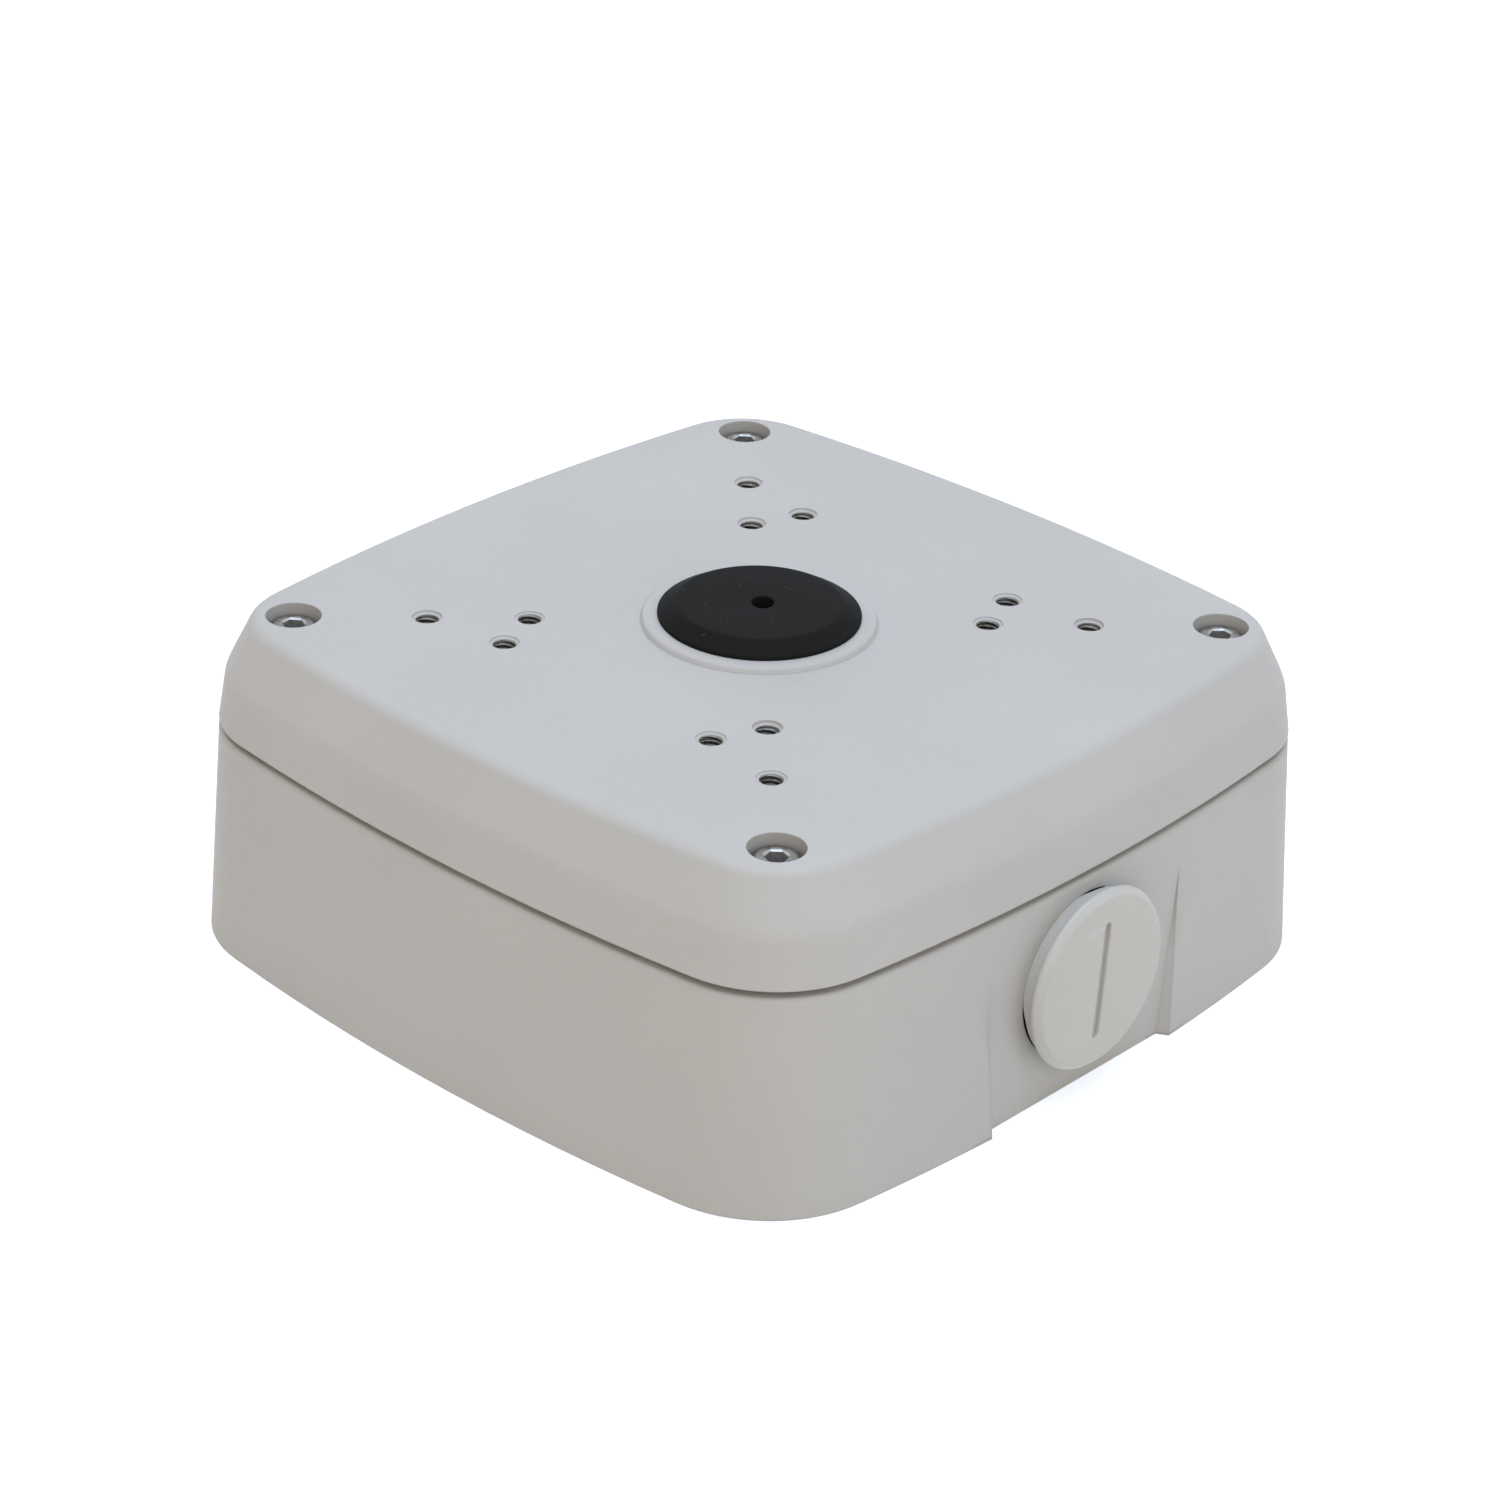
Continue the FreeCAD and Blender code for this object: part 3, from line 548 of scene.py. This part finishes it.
def pierced(radius, level, count):
    """A circle that drifts and stretches with the off-centre pinhole as it comes near it."""
    near = min(max((PINHOLE_REACH - radius) / (PINHOLE_REACH - PINHOLE_CORE), 0.0), 1.0)
    near = near * near * (3 - 2 * near)
    points = []
    for x, y, z in circle(radius, level, count):
        along = (x * PINHOLE_LINE[0] + y * PINHOLE_LINE[1]) * PINHOLE_STRETCH * near
        points.append((x + along * PINHOLE_LINE[0] + PINHOLE_SHIFT[0] * near,
                       y + along * PINHOLE_LINE[1] + PINHOLE_SHIFT[1] * near, z))
    return points


def make_grommet():
    pinhole, flange, groove, bead, hollow = 1.7, 15.25, 13.5, 14.6, 11.1
    profile = rounded((
        (pinhole, GROMMET_WEB, 0), (pinhole, GROMMET_TOP - 0.12, 0.08),
        (1.95, GROMMET_TOP, 0.2), (7.0, GROMMET_TOP, 0), (12.5, GROMMET_TOP, 1.5),
        (flange, 53.21, 0.35), (flange, COLLAR_TOP, 0.1), (groove, COLLAR_TOP, 0.1),
        (groove, CEILING, 0.1), (bead, CEILING, 0.2), (bead, 46.9, 0.4),
        (12.4, GROMMET_FOOT, 0.3), (hollow, GROMMET_FOOT, 0.3), (hollow, GROMMET_WEB, 0.6),
        (pinhole, GROMMET_WEB, 0)))
    piece = lathe("rubber_grommet", profile, 128, Matrix.Identity(4), pierced)
    finish_piece(piece, "cover", "grommet_rubber", GROMMET_RUBBER, "cable_grommet")


# Cover screws

def make_screw(index, x, y, socket_turn):
    count = 48
    head, shank, minor = 3.5, 2.0, 1.57
    neck, end = -2.0, -SCREW_LENGTH
    shape = Shape()

    def limit(level):
        """The cones at the tip and at the neck, where the thread runs out."""
        low_cone = minor - 0.15 + (level - end) * 1.1
        high_cone = minor + (neck - level) * 1.1
        return min(low_cone, max(high_cone, minor))

    first, last = thread_rings(shape, minor, shank - 0.02, M4_PITCH, end, neck - 0.05, count, limit)
    shape.cap(first, (0, 0, end), upward=False)
    outer = rounded(((shank, neck, 0), (shank, 0, 0.15), (head, 0, 0.12), (head, HEAD_HEIGHT, 0.75),
                     (1.9, HEAD_HEIGHT, 0)))
    rings = shape.stack([circle(radius, level, count) for radius, level in outer])
    shape.bridge(last, rings[0])
    first_of_socket = len(shape.faces)
    mouth, floor = [
        shape.ring(hexagon(SOCKET_ACROSS, HEAD_HEIGHT - depth, count, socket_turn))
        for depth in (SOCKET_CHAMFER, SOCKET_DEPTH)]
    shape.bridge(rings[-1], mouth)
    shape.bridge(mouth, floor)
    shape.cap(floor, (0, 0, HEAD_HEIGHT - SOCKET_DEPTH - 0.5))
    shape.second = set(range(first_of_socket, len(shape.faces)))
    piece = shape.build("socket_screw_%d" % index, stand_at(x, y, HEAD_SEAT), sharp=32.0)
    finish_piece(piece, "screw_%d" % index, "screw_steel", STEEL, "cover_screw_%d" % index)
    piece.data.materials.append(SOCKET_GLINT_AND_SHADE)


# Threads in the castings

def make_tapped_hole(number, x, y, mouth):
    """A hole's thread, and the coat that rounds its mouth off at its own depth."""
    place = stand_at(x, y, COVER_TOP)
    piece = inner_thread("camera_thread_%d" % number, wall=1.99, crest=1.62, pitch=M4_PITCH,
                         low=-TAP_DEPTH, high=-mouth - 0.12, count=24, place=place)
    finish_piece(piece, "cover", "casting", CUT_METAL)
    top, foot = -0.04, -TAP_MOUTH - 0.1
    wall, edge, bore = 2.3, 2.19, 1.76
    rim = rounded(((wall, top, 0), (edge, top, 0), (edge, -mouth, min(0.3, mouth - 0.08)),
                   (bore, -mouth, 0.1), (bore, foot, 0), (wall, foot, 0), (wall, top, 0)), steps=4)
    piece = lathe("camera_hole_rim_%d" % number, rim, 48, place)
    finish_piece(piece, "cover", "casting", COAT)


def make_base_thread(index, x, y):
    """Its levels count from the screw's own seat, so that ridge and screw share one helix."""
    piece = inner_thread("base_thread_%d" % index, wall=2.05, crest=1.66, pitch=M4_PITCH,
                         low=BASE_THREAD_FOOT - HEAD_SEAT, high=BASE_HOLE_TOP - 0.3 - HEAD_SEAT,
                         count=24, place=stand_at(x, y, HEAD_SEAT))
    finish_piece(piece, "base", "casting", CUT_METAL)


def make_port_thread():
    piece = inner_thread("port_thread", wall=12.55, crest=11.75, pitch=PORT_PITCH,
                         low=-12.6, high=-0.6, count=96, place=PORT_PLACE)
    finish_piece(piece, "base", "casting", CUT_METAL)


# Side plug and its seal

def capsule(length, width, level, count, lean):
    """Points on a slot's outline, in the order of a circle's points, leaning from upright."""
    radius = width / 2
    reach = length / 2 - radius
    straight = 0.4  # the share of the points that lie on the straight sides
    c, s = math.cos(lean), math.sin(lean)
    points = []
    for i in range(count):
        quarter = i / count * 4
        right = quarter < 1 or quarter >= 3
        side = 1 if right else -1
        if quarter < 1:
            swing = quarter * math.pi / 2
        elif right:
            swing = (quarter - 4) * math.pi / 2
        else:
            swing = (quarter - 2) * math.pi / 2
        share = abs(swing) / (math.pi / 2)
        if share < straight:
            px, py = side * radius, reach * math.copysign(share / straight, swing) * side
        else:
            turn = (share - straight) / (1 - straight) * math.pi / 2
            px = side * radius * math.cos(turn)
            py = math.copysign(reach + radius * math.sin(turn), swing) * side
        points.append((px * c + py * s, -px * s + py * c, level))
    return points


def plug_crack(x, y):
    """How far the collar stands off the wall, at the lower left and at the top."""
    angle = math.degrees(math.atan2(y, x)) % 360
    return sum(height * math.exp(-((angle - middle) / width) ** 4)
               for height, middle, width in PLUG_CRACKS)


def plug_slot(top, count):
    """The rings of the slot in the plug's face, from its rounded mouth down to its floor."""
    length, width, rounding = 18.6, 1.45, 0.3
    lean = math.radians(4.0)
    steps = 6
    rings = []
    for step in range(steps + 1):
        swing = step / steps * math.pi / 2
        out = rounding * (1 - math.sin(swing))
        drop = rounding * (1 - math.cos(swing))
        ring = capsule(length + 2 * out, width + 2 * out, top - drop, count, lean)
        if step < steps:
            # the mould leaves the slot's left edge sharp
            ring = [(x + min(-x, out) * 0.8 if x < 0 else x, y, z) for x, y, z in ring]
        rings.append(ring)
    rings.append(capsule(length, width, top - PLUG_SLOT_DEPTH + 0.15, count, lean))
    rings.append(capsule(length - 0.3, width - 0.3, top - PLUG_SLOT_DEPTH, count, lean))
    return [[(x + PLUG_SLOT_SHIFT, y, z) for x, y, z in ring] for ring in rings]


def make_plug():
    count = 144
    top = 3.95
    minor, major, end, bore = 11.6, 12.45, -9.2, 10.0
    neck = -0.7
    groove, collar, disc = 12.8, 13.1, 14.2
    shape = Shape()

    def limit(level):
        """The cones at both ends, where the thread runs out."""
        return min(minor + 0.15 + (level - end) * 0.9, minor + max(neck - level, 0.0) * 0.9)

    def cracked(radius, level):
        """A circle that stands off the wall where the collar does."""
        share = max(1.0 - abs(level) / 1.5, 0.0)
        return [(x, y, z + plug_crack(x, y) * share) for x, y, z in circle(radius, level, count)]

    first, last = thread_rings(shape, minor, major, PORT_PITCH, end, neck, count, limit)
    inside = ((bore - 0.3, 0.0), (bore, -0.3), (bore, end))
    rings = shape.stack([circle(radius, level, count) for radius, level in inside])
    shape.cap(rings[0], (0, 0, 0.0))
    shape.bridge(rings[-1], first)
    # thread run-out, the groove that holds the seal, the collar, the disc and its face
    outer = rounded(((minor, neck, 0), (minor, 0.85, 0.1), (groove, 0.85, 0), (groove, 0.02, 0),
                     (collar, 0.02, 0.06), (collar, 2.1, 0.15), (disc, 2.35, 0.25),
                     (disc, top - 1.0, 0.7), (13.25, top, 0.7), (11.0, top, 0)), steps=8)
    rings = shape.stack([cracked(radius, level) if radius > groove - 0.1 and level < 1.6
                         else circle(radius, level, count) for radius, level in outer])
    shape.bridge(last, rings[0])
    cut = shape.stack(plug_slot(top, count))
    shape.bridge(rings[-1], cut[0])
    shape.cap(cut[-1], (PLUG_SLOT_SHIFT, 0, top - PLUG_SLOT_DEPTH))
    piece = shape.build("entry_plug", PORT_PLACE, sharp=32.0)
    finish_piece(piece, "plug", "plug_plastic", PLUG_PLASTIC, "side_plug")


def make_plug_seal():
    """The seal. Its thin lip shows black in the collar's cracks, and the plug turns over it."""
    bore, body, lip = 12.56, 12.78, 13.05
    profile = rounded(((bore, 0.4, 0), (bore, 0.004, 0), (lip, 0.004, 0), (lip, 0.012, 0),
                       (body, 0.012, 0), (body, 0.8, 0.05), (bore, 0.8, 0.05), (bore, 0.4, 0)),
                      steps=4)
    piece = lathe("plug_seal_ring", profile, 144, PORT_PLACE)
    finish_piece(piece, "plug_seal", "seal_rubber", SEAL_RUBBER, "side_plug_seal")


def make_pieces():
    dress_solid("base_housing", COAT)
    dress_solid("cover", COAT)
    dress_solid("cover_gasket", SEAL_RUBBER)
    for index in range(1, 5):
        dress_solid("cover_screw_washer_%d" % index, STEEL)
    make_grommet()
    places = [(x_sign * SCREW_PLACE, y_sign * SCREW_PLACE) for x_sign, y_sign in CORNERS]
    for index, ((x, y), turn) in enumerate(zip(places, SOCKET_TURNS), start=1):
        make_screw(index, x, y, math.radians(turn))
    holes = [(x_sign * x, y_sign * y, mouth) for (x, y), mouths in TAP_PLACES
             for (x_sign, y_sign), mouth in zip(CORNERS, mouths)]
    for number, hole in enumerate(holes, start=1):
        make_tapped_hole(number, *hole)
    for index, (x, y) in enumerate(places, start=1):
        make_base_thread(index, x, y)
    make_port_thread()
    make_plug()
    make_plug_seal()


# Floor, light and camera

FLOOR_REACH = 4.0
FLOOR_DROP = 0.1 * MM
FLOOR_TONE = (0.82, 0.79, 0.74)
FLOOR_TONE_SEEN = (0.8, 0.8, 0.81)
FLOOR_LIFT = ((0.92, 1.0, 1.12), 0.6)
WORLD_LIGHT = ((1.17, 0.975, 0.735), 0.47)
WORLD_SEEN = ((1, 1, 1), 1.0)
# Name, place, size, power in watts and colour
LAMPS = (
    ("top_box", (-0.1, -0.1, 1.2), (1.0, 1.0), 6.5, (0.76, 1.03, 1.41)),
    ("front_box", (-0.7, -0.9, 0.6), (0.6, 0.6), 1.5, (1.08, 1.0, 0.82)),
    ("right_box", (0.5, -1.1, 0.5), (0.9, 0.9), 1.05, (0.55, 1.06, 1.7)),
    ("back_box", (0.9, 0.9, 0.3), (0.9, 0.9), 1.1, (0.7, 1.04, 1.5)),
)
LAMP_AIM = (0, 0, 0.03)
# The view recovered from the photograph
CAMERA_LENS = 108.97
CAMERA_SENSOR = 36.0
CAMERA_PLACE = (-0.449396, -0.406909, 0.351399)
CAMERA_RIGHT = (0.683291, -0.729552, 0.029445)
CAMERA_DOWN = (-0.324387, -0.339453, -0.882918)
CAMERA_AHEAD = (0.65413, 0.593739, -0.468603)


def seen_directly(tree):
    """1 for what the camera sees, in a mirror or through glass too, and 0 for light elsewhere."""
    path = tree.nodes.new("ShaderNodeLightPath")
    share = path.outputs["Is Camera Ray"]
    for kind in ("Is Glossy Ray", "Is Transmission Ray"):
        either = tree.nodes.new("ShaderNodeMath")
        either.operation = "MAXIMUM"
        tree.links.new(share, either.inputs[0])
        tree.links.new(path.outputs[kind], either.inputs[1])
        share = either.outputs[0]
    return share


def plain_shader(tree, kind, colour, strength=None):
    """A shader of one colour, and of one strength if it shines."""
    node = tree.nodes.new(kind)
    node.inputs["Color"].default_value = (*colour, 1)
    if strength is not None:
        node.inputs["Strength"].default_value = strength
    return node


def join_shaders(tree, lighting, seen, output):
    """Use one shader for the light on the object and another for what the camera sees."""
    mixed = tree.nodes.new("ShaderNodeMixShader")
    tree.links.new(seen_directly(tree), mixed.inputs[0])
    tree.links.new(lighting.outputs[0], mixed.inputs[1])
    tree.links.new(seen.outputs[0], mixed.inputs[2])
    tree.links.new(mixed.outputs[0], tree.nodes.new(output).inputs[0])


def make_floor():
    mesh = bpy.data.meshes.new("floor")
    corners = [(x_sign * FLOOR_REACH, y_sign * FLOOR_REACH, 0)
               for x_sign, y_sign in ((-1, -1), (1, -1), (1, 1), (-1, 1))]
    mesh.from_pydata(corners, [], [(0, 1, 2, 3)])
    floor = bpy.data.objects.new("floor", mesh)
    # a hair under the back face, so that the two don't fight
    floor.location.z = -FLOOR_DROP
    bpy.context.scene.collection.objects.link(floor)
    material = bpy.data.materials.new("floor_white")
    material.use_nodes = True
    tree = material.node_tree
    tree.nodes.clear()
    lifted = tree.nodes.new("ShaderNodeAddShader")
    for shader, target in zip((plain_shader(tree, "ShaderNodeBsdfDiffuse", FLOOR_TONE_SEEN),
                               plain_shader(tree, "ShaderNodeEmission", *FLOOR_LIFT)),
                              lifted.inputs):
        tree.links.new(shader.outputs[0], target)
    join_shaders(tree, plain_shader(tree, "ShaderNodeBsdfDiffuse", FLOOR_TONE), lifted,
                 "ShaderNodeOutputMaterial")
    floor.data.materials.append(material)


def make_world():
    world = bpy.data.worlds.new("studio")
    bpy.context.scene.world = world
    world.use_nodes = True
    tree = world.node_tree
    tree.nodes.clear()
    join_shaders(tree, plain_shader(tree, "ShaderNodeBackground", *WORLD_LIGHT),
                 plain_shader(tree, "ShaderNodeBackground", *WORLD_SEEN), "ShaderNodeOutputWorld")


def make_lamp(name, place, size, power, colour):
    data = bpy.data.lights.new(name, "AREA")
    data.shape = "RECTANGLE"
    data.size, data.size_y = size
    data.energy = power
    data.color = colour
    lamp = bpy.data.objects.new(name, data)
    bpy.context.scene.collection.objects.link(lamp)
    lamp.location = place
    lamp.rotation_mode = "QUATERNION"
    lamp.rotation_quaternion = (Vector(LAMP_AIM) - Vector(place)).to_track_quat("-Z", "Y")


def make_camera():
    data = bpy.data.cameras.new("camera")
    data.lens = CAMERA_LENS
    data.sensor_width = CAMERA_SENSOR
    data.clip_start, data.clip_end = 0.01, 20.0
    camera = bpy.data.objects.new("camera", data)
    bpy.context.scene.collection.objects.link(camera)
    rows = (Vector(CAMERA_RIGHT), -Vector(CAMERA_DOWN), -Vector(CAMERA_AHEAD))
    camera.matrix_world = (Matrix.Translation(CAMERA_PLACE)
                           @ Matrix(rows).transposed().to_4x4())
    bpy.context.scene.camera = camera


make_pieces()
make_floor()
make_world()
for lamp in LAMPS:
    make_lamp(*lamp)
make_camera()
bpy.context.scene.view_settings.view_transform = "Standard"
